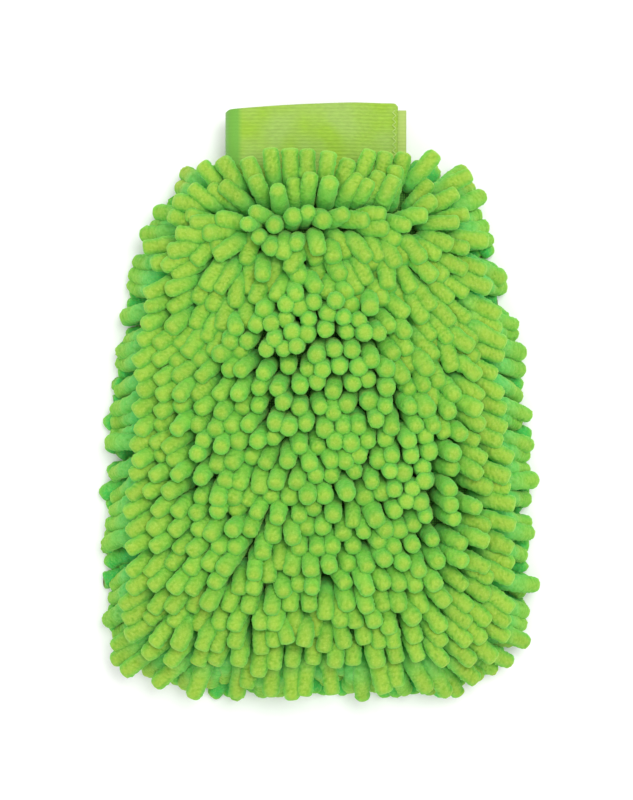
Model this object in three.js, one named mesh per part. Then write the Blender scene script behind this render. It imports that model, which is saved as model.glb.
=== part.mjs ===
// Chenille wash mitt with an elastic cuff, lying flat with its palm side up.
// Millimetres. X runs across the mitt, Y from the finger end to the wrist, Z up from the table.
// The origin is on the table under the middle of the whole mitt, cuff and noodle tips included.

import * as THREE from 'three';

// Sewn outline, shared by both base cloths
const MITT_LENGTH = 224;
const MITT_WIDTH = 169;
const MOUTH_WIDTH = 98;
const SHOULDER_LENGTH = 45; // the lower it is, the sooner the mitt reaches its full width
const CORNER_RADIUS = 34;

// Cloth thicknesses and the clearance between pieces that touch
const CLOTH = 1.5;
const LINING = 0.8;
const FIT = 0.3;
const PILE_CLEARANCE = 0.9; // more than FIT, because the strips and the domed cloth are faceted differently

// Hand pocket
const PALM_RISE = 13; // how far the palm cloth domes up from its seam
const BACK_SAG = 2; // how far the back cloth sinks below its seam
const FINGER_SLOPE = 50; // length of the slope up from the finger-end seam
const MOUTH_SLOPE = 60;
const MOUTH_SHARE = 0.8; // the dome's height at the mouth, as a share of the full rise
const CLOTH_FLATNESS = 4; // 2 is a round arch across the mitt, more is flatter with steeper sides
const LINING_INSET = 3;
const LINING_SLACK = 1;

// Seam allowances, turned inside
const SEAM_WIDTH = 6;
const SEAM_THICKNESS = 1.4;
const MOUTH_SEAM_LENGTH = 8;
const MOUTH_SEAM_THICKNESS = 1.2;
const MOUTH_SEAM_SLACK = 1;

// Chenille noodles, sewn on in rows across the mitt
const ROW_PITCH = 8;
const BACK_STRIP_ROWS = 2; // the back noodles are modelled two rows to a piece
const ROW_GAP = 0.6;
const ROOT_MARGIN = 1; // bare cloth left between the outline and the pile
const PALM_PILE = 23;
const PALM_EDGE_TIP = 3.8; // how far the palm tips at the edge stand above the edge of the cloth
const PALM_REACH = 19; // how far the palm noodles reach past the outline
const BACK_PILE = 11; // the back noodles are pressed flat under the mitt
const BACK_EDGE_TIP = 5;
const BACK_REACH = 13;
const MOUTH_REACH = 8; // how far the first row's tips lean over the cuff
const TIP_MOUTH_SHARE = 0.75;
const TIP_FLATNESS = 6;
const FLAT_SHARE = 0.75; // share of the width that lies flat on the table
const FLAT_END = 20; // length at the finger end over which the tips lift off the table
const LOBES = 10; // each lobe of a strip stands for two noodles side by side
const LOBE_VALLEY = 0.84;

// Elastic cuff
const CUFF_WIDTH = 86;
const CUFF_DEPTH = 12;
const CUFF_WALL = 1.4;
const CUFF_GAP = 5.5; // room for the cuff to bend at its seam
const CUFF_LENGTH_LEFT = 28;
const CUFF_LENGTH_RIGHT = 31.5;
const CUFF_SQUARENESS = 3;
const CUFF_SIDES = 28;
const STITCH_HEIGHT = 0.6;
const STITCH_END_MARGIN = 1.5;

// Grid of the sheets: one facet for every two of a strip's stations
const ACROSS = LOBES;
const ALONG = 12;
const END_CROWDING = 0.7; // 0 spaces the grid evenly, 1 crowds it most towards both ends, where it curves
const CORNER_STEPS = 5;
const SIDE_STEPS = 10;
const MOUTH_CROWDING = 1.6; // the same for the side seam, towards the mouth

// Y of the seams at the finger end and the mouth, which set the origin midway along the whole mitt
const FULL_LENGTH = PALM_REACH + MITT_LENGTH + CUFF_GAP + CUFF_LENGTH_RIGHT;
const FINGER_END = PALM_REACH - FULL_LENGTH / 2;
const MOUTH = FINGER_END + MITT_LENGTH;
const CUFF_START = MOUTH + CUFF_GAP;

const COLOURS = {
  palmPile: 0x96cb49,
  backPile: 0x5f9f40,
  cloth: 0x6aa83c,
  lining: 0xd9e8b4,
  seam: 0xb9d97a,
  cuff: 0xa4cd4a,
  thread: 0xcfe690,
};

// Heights of the layers at the seam, stacked up from the back cloth
const backCloth = layerAbove(BACK_PILE + BACK_SAG, CLOTH);
const backLining = layerAbove(backCloth.top + FIT, LINING);
const seamLayer = layerAbove(backLining.top + FIT, SEAM_THICKNESS);
const palmLining = layerAbove(seamLayer.top + FIT, LINING);
const palmCloth = layerAbove(palmLining.top + FIT, CLOTH);

function layerAbove(bottom, thickness) {
  return { bottom, top: bottom + thickness };
}

// Half the outline's width at y. A positive inset draws it inside the seam, a negative one outside.
function halfWidth(y, inset) {
  const widening = 1 - Math.exp((y - MOUTH) / SHOULDER_LENGTH);
  const side = (MOUTH_WIDTH + (MITT_WIDTH - MOUTH_WIDTH) * widening) / 2 - inset;
  const radius = CORNER_RADIUS - inset;
  const toCentre = THREE.MathUtils.clamp(radius - (y - FINGER_END - inset), 0, radius);
  return side - radius + Math.sqrt(radius * radius - toCentre * toCentre);
}

function easeOut(share) {
  const rest = 1 - THREE.MathUtils.clamp(share, 0, 1);
  return 1 - rest * rest;
}

// Height of a dome over the outline as a share of its rise: 0 on the outline, 1 in the middle
function dome(x, y, inset, flatness, mouthShare) {
  const u = Math.min(1, Math.abs(x) / halfWidth(y, inset));
  const fromFinger = easeOut((y - FINGER_END - inset) / FINGER_SLOPE);
  const fromMouth = mouthShare + (1 - mouthShare) * easeOut((MOUTH - y) / MOUTH_SLOPE);
  return (1 - u ** flatness) * fromFinger * fromMouth;
}

const palmClothRise = (x, y) => PALM_RISE * dome(x, y, 0, CLOTH_FLATNESS, MOUTH_SHARE);
const backClothRise = (x, y) => -BACK_SAG * dome(x, y, 0, CLOTH_FLATNESS, MOUTH_SHARE);
const backLiningRise = (x, y) => -BACK_SAG * dome(x, y, LINING_INSET, CLOTH_FLATNESS, MOUTH_SHARE);

function palmLiningRise(x, y) {
  return (PALM_RISE - LINING_SLACK) * dome(x, y, LINING_INSET, CLOTH_FLATNESS, MOUTH_SHARE);
}

// Builds a closed solid from rings of points: each ring joins the next, and the ends are capped or joined.
function ringSolid(rings, closed) {
  const sides = rings[0].length;
  const positions = rings.flat().flatMap((point) => point.toArray());
  const indices = [];
  const last = closed ? rings.length : rings.length - 1;
  for (let ring = 0; ring < last; ring++) {
    const here = ring * sides;
    const next = ((ring + 1) % rings.length) * sides;
    for (let side = 0; side < sides; side++) {
      const after = (side + 1) % sides;
      const quad = [here + side, next + side, next + after, here + after];
      // The ring's two halves split along mirrored diagonals, so that neighbouring strips fit face to face
      addQuad(indices, side < sides / 2 ? quad : [...quad.slice(1), quad[0]]);
    }
  }
  if (!closed) {
    addFan(indices, 0, sides, false);
    addFan(indices, last * sides, sides, true);
  }
  return outwardGeometry(positions, indices);
}

function addFan(indices, first, sides, reversed) {
  for (let side = 1; side < sides - 1; side++) {
    const pair = reversed ? [side + 1, side] : [side, side + 1];
    indices.push(first, first + pair[0], first + pair[1]);
  }
}

// Turns every face over if the solid came out inside out
function outwardGeometry(positions, indices) {
  const corner = (index) => new THREE.Vector3().fromArray(positions, index * 3);
  let volume = 0;
  for (let i = 0; i < indices.length; i += 3) {
    volume += corner(indices[i]).dot(corner(indices[i + 1]).cross(corner(indices[i + 2])));
  }
  if (volume < 0) {
    indices.reverse();
  }
  const geometry = new THREE.BufferGeometry();
  geometry.setAttribute('position', new THREE.Float32BufferAttribute(positions, 3));
  geometry.setIndex(indices);
  geometry.computeVertexNormals();
  return geometry;
}

function crowded(share) {
  return THREE.MathUtils.lerp(share, (1 - Math.cos(Math.PI * share)) / 2, END_CROWDING);
}

// A cloth or a lining: a domed sheet of one thickness that fills the outline, less its inset
function sheetSolid(layer, rise, inset) {
  const positions = [];
  const indices = [];
  const column = ACROSS + 1;
  const layerSize = column * (ALONG + 1);
  for (const level of [layer.bottom, layer.top]) {
    for (let row = 0; row <= ALONG; row++) {
      const y = THREE.MathUtils.lerp(FINGER_END + inset, MOUTH, crowded(row / ALONG));
      for (let j = 0; j <= ACROSS; j++) {
        const x = (-1 + (2 * j) / ACROSS) * halfWidth(y, inset);
        positions.push(x, y, level + rise(x, y));
      }
    }
  }
  for (let row = 0; row < ALONG; row++) {
    for (let j = 0; j < ACROSS; j++) {
      const a = row * column + j;
      const quad = [a, a + 1, a + column + 1, a + column];
      addQuad(indices, quad.map((index) => index + layerSize));
      addQuad(indices, quad.reverse());
    }
  }
  for (const [from, to] of sheetRim(column)) {
    addQuad(indices, [from, to, to + layerSize, from + layerSize]);
  }
  return outwardGeometry(positions, indices);
}

function addQuad(indices, [a, b, c, d]) {
  indices.push(a, b, c, a, c, d);
}

// The pairs of neighbouring points round the sheet's edge, anticlockwise from above
function sheetRim(column) {
  const rim = [];
  for (let j = 0; j < ACROSS; j++) {
    rim.push([j, j + 1]);
    rim.push([ALONG * column + j + 1, ALONG * column + j]);
  }
  for (let row = 0; row < ALONG; row++) {
    rim.push([row * column + ACROSS, (row + 1) * column + ACROSS]);
    rim.push([(row + 1) * column, row * column]);
  }
  return rim;
}

// The seam allowance: a flat strip round both sides and the finger end, just inside the outline
function sideSeamSolid() {
  const rings = [];
  for (const side of [-1, 1]) {
    const leg = [];
    for (let step = 0; step <= SIDE_STEPS + CORNER_STEPS; step++) {
      leg.push(seamSection(side, step));
    }
    rings.push(...(side < 0 ? leg : leg.reverse()));
  }
  return ringSolid(rings, false);
}

// One cross-section of the strip: down the straight side first, then round the corner
function seamSection(side, step) {
  const turn = (Math.max(0, step - SIDE_STEPS) / CORNER_STEPS) * (Math.PI / 2);
  const along = Math.min(1, step / SIDE_STEPS) ** MOUTH_CROWDING;
  const edge = (inset) => {
    const radius = CORNER_RADIUS - inset;
    const cornerTop = FINGER_END + CORNER_RADIUS;
    const y = THREE.MathUtils.lerp(MOUTH, cornerTop, along) - radius * Math.sin(turn);
    return [side * halfWidth(y, inset), y];
  };
  const [outer, inner] = [edge(0), edge(SEAM_WIDTH)];
  return [
    new THREE.Vector3(...outer, seamLayer.bottom),
    new THREE.Vector3(...outer, seamLayer.top),
    new THREE.Vector3(...inner, seamLayer.top),
    new THREE.Vector3(...inner, seamLayer.bottom),
  ];
}

// The allowance round the mouth: a short flat tube that lines the opening and holds the cuff
function mouthSeamSolid() {
  const from = MOUTH - MOUTH_SEAM_LENGTH;
  const rings = [
    mouthLoop(from, 0),
    mouthLoop(MOUTH, 0),
    mouthLoop(MOUTH, MOUTH_SEAM_THICKNESS),
    mouthLoop(from, MOUTH_SEAM_THICKNESS),
  ];
  return ringSolid(rings, true);
}

// A loop just inside both linings at y, drawn in by a wall thickness
function mouthLoop(y, drawnIn) {
  const half = halfWidth(y, SEAM_WIDTH + FIT + drawnIn);
  const gap = MOUTH_SEAM_SLACK + drawnIn;
  const upper = [];
  const lower = [];
  for (let j = 0; j <= ACROSS; j++) {
    const x = half * (-1 + (2 * j) / ACROSS);
    upper.push(new THREE.Vector3(x, y, palmLining.bottom + palmLiningRise(x, y) - gap));
    lower.push(new THREE.Vector3(x, y, backLining.top + backLiningRise(x, y) + gap));
  }
  return [...upper, ...lower.reverse()];
}

const palmPile = {
  rows: 1,
  reach: PALM_REACH,
  valley: LOBE_VALLEY,
  rootZ: (x, y) => palmCloth.top + PILE_CLEARANCE + palmClothRise(x, y),
  tipZ: (x, y) => {
    const edge = palmCloth.top + PALM_EDGE_TIP;
    const full = PALM_RISE + PALM_PILE - PALM_EDGE_TIP;
    return edge + full * dome(x, y, -PALM_REACH, TIP_FLATNESS, TIP_MOUTH_SHARE);
  },
};

const backPile = {
  rows: BACK_STRIP_ROWS,
  reach: BACK_REACH,
  valley: 1,
  rootZ: (x, y) => backCloth.bottom - PILE_CLEARANCE + backClothRise(x, y),
  tipZ: (x, y) => {
    const u = Math.abs(x) / halfWidth(y, -BACK_REACH);
    const pastFlat = Math.max(0, u - FLAT_SHARE) / (1 - FLAT_SHARE);
    const pastEnd = Math.max(0, 1 - (y - FINGER_END + BACK_REACH) / FLAT_END);
    return BACK_EDGE_TIP * Math.max(pastFlat, pastEnd) ** 2;
  },
};

function stripCount(pile) {
  return Math.round((MITT_LENGTH - 2 * ROOT_MARGIN) / (ROW_PITCH * pile.rows));
}

// A point of the pile: u across, k strips down from the mouth, and h from the roots (0) to the tips (1)
function pilePoint(pile, u, k, h) {
  const share = k / stripCount(pile);
  const rootY = THREE.MathUtils.lerp(MOUTH - ROOT_MARGIN, FINGER_END + ROOT_MARGIN, share);
  const tipY = THREE.MathUtils.lerp(MOUTH + MOUTH_REACH, FINGER_END - pile.reach, share);
  const rootX = u * halfWidth(rootY, ROOT_MARGIN);
  const tipX = u * halfWidth(tipY, -pile.reach);
  const root = new THREE.Vector3(rootX, rootY, pile.rootZ(rootX, rootY));
  const tip = new THREE.Vector3(tipX, tipY, pile.tipZ(tipX, tipY));
  return root.lerp(tip, h);
}

// A row of noodles, or two: a strip on the cloth that fans out to the tips, with a lobed edge there
function stripSolid(pile, strip) {
  const gap = ROW_GAP / 2 / (ROW_PITCH * pile.rows);
  const [upper, lower] = [strip + gap, strip + 1 - gap];
  const rings = [];
  for (let station = 0; station <= 2 * LOBES; station++) {
    const u = -1 + station / LOBES;
    const h = station % 2 ? 1 : pile.valley;
    rings.push([
      pilePoint(pile, u, upper, 0),
      pilePoint(pile, u, lower, 0),
      pilePoint(pile, u, lower, h),
      pilePoint(pile, u, upper, h),
    ]);
  }
  return ringSolid(rings, false);
}

// The cuff lies level with the middle of the mouth
const mouthMiddle =
  (palmLining.bottom + palmLiningRise(0, MOUTH) + backLining.top + backLiningRise(0, MOUTH)) / 2;

// A point on the cuff's outside, grown outwards by a distance
function cuffPoint(side, y, grown) {
  const angle = (2 * Math.PI * side) / CUFF_SIDES;
  const bend = (value) => Math.sign(value) * Math.abs(value) ** (2 / CUFF_SQUARENESS);
  const x = (CUFF_WIDTH / 2 + grown) * bend(Math.cos(angle));
  const z = mouthMiddle + (CUFF_DEPTH / 2 + grown) * bend(Math.sin(angle));
  return new THREE.Vector3(x, y, z);
}

function cuffTopAt(x) {
  const share = THREE.MathUtils.clamp(x / CUFF_WIDTH + 0.5, 0, 1);
  return CUFF_START + THREE.MathUtils.lerp(CUFF_LENGTH_LEFT, CUFF_LENGTH_RIGHT, share);
}

function cuffLoop(grown, atTop) {
  const loop = [];
  for (let side = 0; side < CUFF_SIDES; side++) {
    const point = cuffPoint(side, CUFF_START, grown);
    if (atTop) {
      point.y = cuffTopAt(point.x);
    }
    loop.push(point);
  }
  return loop;
}

function cuffSolid() {
  const rings = [
    cuffLoop(0, false),
    cuffLoop(0, true),
    cuffLoop(-CUFF_WALL, true),
    cuffLoop(-CUFF_WALL, false),
  ];
  return ringSolid(rings, true);
}

// The stitched join of the cuff: a raised strip on the facet of the front near its right edge
function cuffJoinSolid() {
  const [rightSide, leftSide] = [2, 3];
  const ring = (y) =>
    [
      [rightSide, FIT],
      [rightSide, FIT + STITCH_HEIGHT],
      [leftSide, FIT + STITCH_HEIGHT],
      [leftSide, FIT],
    ].map(([side, grown]) => cuffPoint(side, y, grown));
  const bottom = CUFF_START + STITCH_END_MARGIN;
  const top = cuffTopAt(cuffPoint(leftSide, 0, 0).x) - STITCH_END_MARGIN;
  return ringSolid([ring(bottom), ring(top)], false);
}

function addPiece(group, name, geometry, color, roughness) {
  const material = new THREE.MeshStandardMaterial({ color, roughness, metalness: 0 });
  const mesh = new THREE.Mesh(geometry, material);
  mesh.name = name;
  group.add(mesh);
}

function addStrips(group, pile, name, color) {
  for (let strip = 0; strip < stripCount(pile); strip++) {
    const number = String(strip + 1).padStart(2, '0');
    addPiece(group, `${name}_${number}`, stripSolid(pile, strip), color, 1);
  }
}

const mitt = new THREE.Group();
addPiece(mitt, 'palm_cloth', sheetSolid(palmCloth, palmClothRise, 0), COLOURS.cloth, 0.95);
addPiece(mitt, 'back_cloth', sheetSolid(backCloth, backClothRise, 0), COLOURS.cloth, 0.95);
addPiece(mitt, 'palm_lining', sheetSolid(palmLining, palmLiningRise, LINING_INSET), COLOURS.lining, 0.8);
addPiece(mitt, 'back_lining', sheetSolid(backLining, backLiningRise, LINING_INSET), COLOURS.lining, 0.8);
addPiece(mitt, 'side_seam', sideSeamSolid(), COLOURS.seam, 0.9);
addPiece(mitt, 'mouth_seam', mouthSeamSolid(), COLOURS.seam, 0.9);
addPiece(mitt, 'cuff_band', cuffSolid(), COLOURS.cuff, 0.85);
addPiece(mitt, 'cuff_join_stitching', cuffJoinSolid(), COLOURS.thread, 0.7);
addStrips(mitt, palmPile, 'palm_row', COLOURS.palmPile);
addStrips(mitt, backPile, 'back_row_pair', COLOURS.backPile);

export default mitt;
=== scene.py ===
import math

import bpy
import numpy as np
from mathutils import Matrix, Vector


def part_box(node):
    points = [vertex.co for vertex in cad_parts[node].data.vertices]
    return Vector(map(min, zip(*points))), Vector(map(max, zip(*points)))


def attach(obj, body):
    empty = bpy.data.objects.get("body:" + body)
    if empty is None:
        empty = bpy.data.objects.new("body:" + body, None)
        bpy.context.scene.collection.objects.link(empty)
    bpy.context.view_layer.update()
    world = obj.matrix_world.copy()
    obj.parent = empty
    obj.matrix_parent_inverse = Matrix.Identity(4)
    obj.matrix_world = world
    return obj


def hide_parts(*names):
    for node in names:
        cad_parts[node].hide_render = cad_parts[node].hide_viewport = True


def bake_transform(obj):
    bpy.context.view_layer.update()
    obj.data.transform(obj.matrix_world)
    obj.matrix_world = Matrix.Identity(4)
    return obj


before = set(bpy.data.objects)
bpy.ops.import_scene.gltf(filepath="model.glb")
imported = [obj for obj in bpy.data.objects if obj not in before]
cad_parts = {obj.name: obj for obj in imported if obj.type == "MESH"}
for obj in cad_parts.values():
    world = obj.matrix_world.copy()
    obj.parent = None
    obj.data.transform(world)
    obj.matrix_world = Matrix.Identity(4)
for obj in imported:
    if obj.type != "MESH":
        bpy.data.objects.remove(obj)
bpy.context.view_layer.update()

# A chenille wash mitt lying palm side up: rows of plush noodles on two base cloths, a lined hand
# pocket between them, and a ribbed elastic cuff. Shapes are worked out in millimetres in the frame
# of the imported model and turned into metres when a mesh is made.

MM = 0.001
draw = np.random.default_rng(20)


# ---------------------------------------------------------------- sizes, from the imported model

def box_mm(node):
    low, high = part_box(node)
    return np.array(low) / MM, np.array(high) / MM


CLOTH_LOW, CLOTH_HIGH = box_mm("palm_cloth")
BACK_LOW, BACK_HIGH = box_mm("back_cloth")
LINING_LOW, LINING_HIGH = box_mm("palm_lining")
UNDER_LOW, UNDER_HIGH = box_mm("back_lining")
SEAM_LOW, SEAM_HIGH = box_mm("side_seam")
CUFF_LOW, CUFF_HIGH = box_mm("cuff_band")
PALM_ROWS = sorted(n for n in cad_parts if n.startswith("palm_row_"))
BACK_PAIRS = sorted(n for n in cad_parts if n.startswith("back_row_pair_"))

FINGER_END, MOUTH = CLOTH_LOW[1], CLOTH_HIGH[1]
HALF_WIDTH = CLOTH_HIGH[0] + 0.6
MOUTH_HALF = 49.0
SHOULDER = 45.0  # length over which the mitt widens from the mouth to its full width
CORNER = 34.0  # corner radius at the finger end
CLOTH = 1.5
LINING = 0.8
PALM_RISE = CLOTH_HIGH[2] - CLOTH_LOW[2] - CLOTH
BACK_SAG = BACK_HIGH[2] - BACK_LOW[2] - CLOTH
FINGER_SLOPE = 50.0  # how far from the finger end the pocket reaches its full height
MOUTH_SLOPE = 60.0
MOUTH_SHARE = 0.8  # the pocket's height at the mouth, as a share of its full height
LINING_INSET = 3.0
LINING_SHORT = 6.0  # the linings stop this far inside the mouth, where the cuff is sewn to them
SEAM_EDGE = 0.5  # from the sewn outline to the seam allowance's outer edge
SEAM_INNER = 5.2  # and to its inner edge

NOODLE_LENGTH = 28.0
NOODLE_RADIUS = 4.1
NOODLE_PITCH = 7.7
LENGTH_SPREAD = 0.06
RADIUS_SPREAD = 0.04
ROOT_INSET = {1: 1.6, -1: 5.5}  # from the seam to the outermost roots, palm side and back
PARTING = 0.88  # where the noodles part, as a share of the way from finger end to mouth
JOINTS = 8  # points along a noodle while the pile settles


def half_width(y, inset):
    """Half the sewn outline's width at y, less an inset."""
    widening = 1 - np.exp(np.minimum(y - MOUTH, 20.0) / SHOULDER)
    side = MOUTH_HALF + (HALF_WIDTH - MOUTH_HALF) * widening - inset
    radius = CORNER - inset
    to_centre = np.clip(radius - (y - FINGER_END - inset), 0, radius)
    return side - radius + np.sqrt(radius * radius - to_centre * to_centre)


def ease_out(share):
    rest = 1 - np.clip(share, 0, 1)
    return 1 - rest * rest


def dome(x, y, inset):
    """Height of the pocket's dome as a share of its rise."""
    u = np.minimum(1, np.abs(x) / half_width(y, inset))
    finger = ease_out((y - FINGER_END - inset) / FINGER_SLOPE)
    mouth = MOUTH_SHARE + (1 - MOUTH_SHARE) * ease_out((MOUTH - y) / MOUTH_SLOPE)
    return (1 - u ** 4) * finger * mouth


def palm_top(x, y):
    return CLOTH_LOW[2] + CLOTH + PALM_RISE * dome(x, y, 0.0)


def back_bottom(x, y):
    return BACK_LOW[2] + BACK_SAG - BACK_SAG * dome(x, y, 0.0)


# ---------------------------------------------------------------- mesh and node helpers

def mesh_object(name, points, quads, values=None):
    """A smooth mesh from points in millimetres and quads; a quad with a repeated corner is a triangle."""
    quads = np.asarray(quads, np.int32).reshape(-1, 4)
    is_tri = quads[:, 2] == quads[:, 3]
    sizes = np.where(is_tri, 3, 4).astype(np.int32)
    corners = quads.ravel()[(np.arange(4)[None, :] < sizes[:, None]).ravel()]
    starts = np.concatenate([[0], np.cumsum(sizes)[:-1]]).astype(np.int32)
    mesh = bpy.data.meshes.new(name)
    mesh.vertices.add(len(points))
    mesh.vertices.foreach_set("co", (np.asarray(points) * MM).astype(np.float32).ravel())
    mesh.loops.add(len(corners))
    mesh.loops.foreach_set("vertex_index", corners.astype(np.int32))
    mesh.polygons.add(len(sizes))
    mesh.polygons.foreach_set("loop_start", starts)
    mesh.polygons.foreach_set("use_smooth", np.ones(len(sizes), bool))
    mesh.update(calc_edges=True)
    mesh.validate()
    for key, numbers in (values or {}).items():
        mesh.attributes.new(key, "FLOAT", "POINT").data.foreach_set(
            "value", np.asarray(numbers, np.float32).ravel())
    piece = bpy.data.objects.new(name, mesh)
    bpy.context.scene.collection.objects.link(piece)
    return piece


def grid_quads(rows, columns, wrap_rows=False, wrap_columns=False):
    """Quads over a grid of points stored row by row."""
    r = np.arange(rows if wrap_rows else rows - 1)
    c = np.arange(columns if wrap_columns else columns - 1)
    r, c = np.meshgrid(r, c, indexing="ij")
    r1, c1 = (r + 1) % rows, (c + 1) % columns
    return np.stack([r * columns + c, r * columns + c1, r1 * columns + c1, r1 * columns + c],
                    axis=-1).reshape(-1, 4)


def double_skin(outer, inner, rows, columns):
    """Points and quads of a sheet with thickness: two skins joined by a wall round their rim."""
    count = rows * columns
    quads = grid_quads(rows, columns)
    grid = np.arange(count).reshape(rows, columns)
    rim = np.concatenate([grid[0, :-1], grid[:-1, -1], grid[-1, :0:-1], grid[:0:-1, 0]])
    after = np.roll(rim, -1)
    wall = np.stack([rim, after, after + count, rim + count], axis=1)
    return np.concatenate([outer, inner]), np.concatenate([quads, quads[:, ::-1] + count, wall[:, ::-1]])


def linear(colour):
    """An sRGB hex colour as linear red, green, blue and alpha."""
    channels = [int(colour[i:i + 2], 16) / 255 for i in (0, 2, 4)]
    return [c / 12.92 if c <= 0.04045 else ((c + 0.055) / 1.055) ** 2.4 for c in channels] + [1.0]


MIX_SHARE, MIX_SECOND, MIX_RESULT = 0, 7, 2  # sockets of a Mix node that mixes colours
WAVE_PER_MM = 0.314 / MM  # scale of a wave texture that repeats once a millimetre


def add_node(tree, kind, settings=None, **links):
    """Adds a node, sets its properties and input values, and links sockets into its inputs.

    A link is named for its input, with _ for a space, or for its number, as in _6."""
    node = tree.nodes.new("ShaderNode" + kind)
    for key, value in (settings or {}).items():
        if key in node.inputs.keys():
            node.inputs[key].default_value = value
        else:
            setattr(node, key, value)
    for key, socket in links.items():
        target = node.inputs[int(key[1:])] if key[1:].isdigit() else node.inputs[key.replace("_", " ")]
        tree.links.new(socket, target)
    return node


def set_inputs(node, values):
    for key, value in values.items():
        node.inputs[key].default_value = value


def new_material(name):
    material = bpy.data.materials.new(name)
    material.use_nodes = True
    tree = material.node_tree
    tree.nodes.clear()
    shader = add_node(tree, "BsdfPrincipled")
    output = add_node(tree, "OutputMaterial")
    tree.links.new(shader.outputs["BSDF"], output.inputs["Surface"])
    return material, tree, shader


def set_ramp(node, stops):
    """Gives a colour ramp its stops, as (place, hex colour) pairs."""
    ramp = node.color_ramp
    while len(ramp.elements) > 2:
        ramp.elements.remove(ramp.elements[-1])
    for _ in range(len(stops) - 2):
        ramp.elements.new(0.5)
    for element, (place, colour) in zip(ramp.elements, stops):
        element.position = place
        element.color = linear(colour)


# ---------------------------------------------------------------- materials

def chenille_material():
    """Split microfibre chenille, polyester and polyamide: a matt plush of 0.1 mm fibres on a twisted
    core. It gives a soft velvet edge, fine light flecks and faint rings across each noodle."""
    material, tree, shader = new_material("lime_chenille_microfibre")
    along = add_node(tree, "Attribute", {"attribute_name": "along"}).outputs["Fac"]
    tone = add_node(tree, "Attribute", {"attribute_name": "tone"}).outputs["Fac"]
    relief_shade = add_node(tree, "Attribute", {"attribute_name": "relief_shade"}).outputs["Fac"]
    lit_face = add_node(tree, "Attribute", {"attribute_name": "lit_face"}).outputs["Fac"]
    place = add_node(tree, "TexCoord").outputs["Object"]
    # Painted light: each noodle's face turned away from the mitt is painted a lighter lime, its flanks and
    # root a fuller green as painted shade
    ramp = add_node(tree, "ValToRGB", None, Fac=lit_face)
    set_ramp(ramp, [(0.1, "4cc05a"), (0.5, "70c048"), (0.95, "97ba44")])
    value = add_node(tree, "MapRange", {"To Min": 0.94, "To Max": 1.04}, Value=tone)
    tinted = add_node(tree, "HueSaturation", None, Color=ramp.outputs["Color"],
                      Value=value.outputs["Result"])
    # Painted shade: near the root, down among the noodles, the colour turns a fuller green
    root_shade_share = add_node(tree, "MapRange", {"From Min": 0.65, "From Max": 0.1}, Value=along)
    root_shaded = add_node(tree, "Mix", {"data_type": "RGBA"},
                      _0=root_shade_share.outputs["Result"], _6=tinted.outputs["Color"])
    root_shaded.inputs[MIX_SECOND].default_value = linear("52cc70")
    # Fibre ends under a millimetre apart catch the light as pale flecks
    flecks = add_node(tree, "TexNoise", {"Scale": 1 / (0.8 * MM), "Detail": 2.0, "Roughness": 0.6},
                      Vector=place)
    fleck_mask = add_node(tree, "MapRange", {"From Min": 0.5, "From Max": 0.72, "To Max": 0.3},
                          Value=flecks.outputs["Fac"])
    flecked = add_node(tree, "Mix", {"data_type": "RGBA"},
                       _0=fleck_mask.outputs["Result"], _6=root_shaded.outputs[MIX_RESULT])
    flecked.inputs[MIX_SECOND].default_value = linear("bfd972")
    # Painted shade: hollows between tufts are painted a shade deeper than the raised tufts, by relief height
    hollow_shade_ramp = add_node(tree, "ValToRGB", None, Fac=relief_shade)
    set_ramp(hollow_shade_ramp, [(0.2, "d8ecca"), (0.5, "f6f9f0"), (0.8, "ffffff")])
    shaded = add_node(tree, "Mix", {"data_type": "RGBA", "blend_type": "MULTIPLY"},
                      _6=flecked.outputs[MIX_RESULT], _7=hollow_shade_ramp.outputs["Color"])
    shaded.inputs[MIX_SHARE].default_value = 1.0
    tree.links.new(shaded.outputs[MIX_RESULT], shader.inputs["Base Color"])
    fine = add_node(tree, "TexNoise", {"Scale": 1 / (0.55 * MM), "Detail": 3.0, "Roughness": 0.7},
                    Vector=place)
    bump = add_node(tree, "Bump", {"Strength": 0.55, "Distance": 0.35 * MM}, Height=fine.outputs["Fac"])
    tree.links.new(bump.outputs["Normal"], shader.inputs["Normal"])
    set_inputs(shader, {"Roughness": 0.92, "IOR": 1.5, "Specular IOR Level": 0.2,
                        "Sheen Weight": 0.55, "Sheen Roughness": 0.45, "Sheen Tint": linear("c8ec74")})
    # Light soaks a few millimetres into the plush, which keeps the gaps between noodles a soft green
    set_inputs(shader, {"Subsurface Weight": 0.35, "Subsurface Radius": (0.7, 1.0, 0.35),
                        "Subsurface Scale": 3 * MM})
    return material


def knit_material(name, pale, deep, stitch_mm, sheen):
    """A fine weft-knitted polyester: rows of small loops that read as a soft grain, with a dull sheen."""
    material, tree, shader = new_material(name)
    place = add_node(tree, "TexCoord").outputs["Object"]
    courses = add_node(tree, "TexWave", {"bands_direction": "Y", "Scale": WAVE_PER_MM / stitch_mm,
                                         "Distortion": 1.5, "Detail": 1.0}, Vector=place)
    wales = add_node(tree, "TexWave", {"bands_direction": "X", "Scale": WAVE_PER_MM / stitch_mm,
                                       "Distortion": 0.5, "Detail": 1.0}, Vector=place)
    loops = add_node(tree, "Math", {"operation": "MULTIPLY"},
                     _0=courses.outputs["Fac"], _1=wales.outputs["Fac"])
    ramp = add_node(tree, "ValToRGB", None, Fac=loops.outputs["Value"])
    set_ramp(ramp, [(0.1, deep), (0.7, pale)])
    tree.links.new(ramp.outputs["Color"], shader.inputs["Base Color"])
    bump = add_node(tree, "Bump", {"Strength": 0.6, "Distance": 0.2 * MM}, Height=loops.outputs["Value"])
    tree.links.new(bump.outputs["Normal"], shader.inputs["Normal"])
    set_inputs(shader, {"Roughness": 0.85, "IOR": 1.5, "Sheen Weight": sheen, "Sheen Roughness": 0.4})
    return material


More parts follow.
